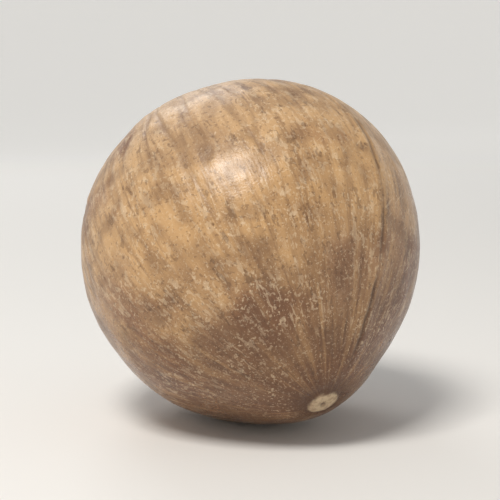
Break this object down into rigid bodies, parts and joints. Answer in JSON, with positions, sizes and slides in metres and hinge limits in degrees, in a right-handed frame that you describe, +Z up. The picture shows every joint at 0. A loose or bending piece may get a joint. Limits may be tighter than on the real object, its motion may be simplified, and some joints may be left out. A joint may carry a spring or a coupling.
{
  "type": "macadamia nut in shell",
  "caption": "Whole macadamia nut in its closed woody shell, nearly round with a bluntly pointed end, resting on a small flat spot.",
  "frame": {"origin": "middle of the small flat spot that the nut rests on", "axes": "+Z up, away from the surface it rests on; -Y is the side that the picture shows; the pointed end looks to +X, -Y and down"},
  "size_m": [0.0247, 0.0251, 0.025],
  "materials": {
    "shell": "satin, mottled tan and brown nutshell"
  },
  "bodies": {
    "root": {"nut_in_shell": "shell"}
  },
  "joints": []
}
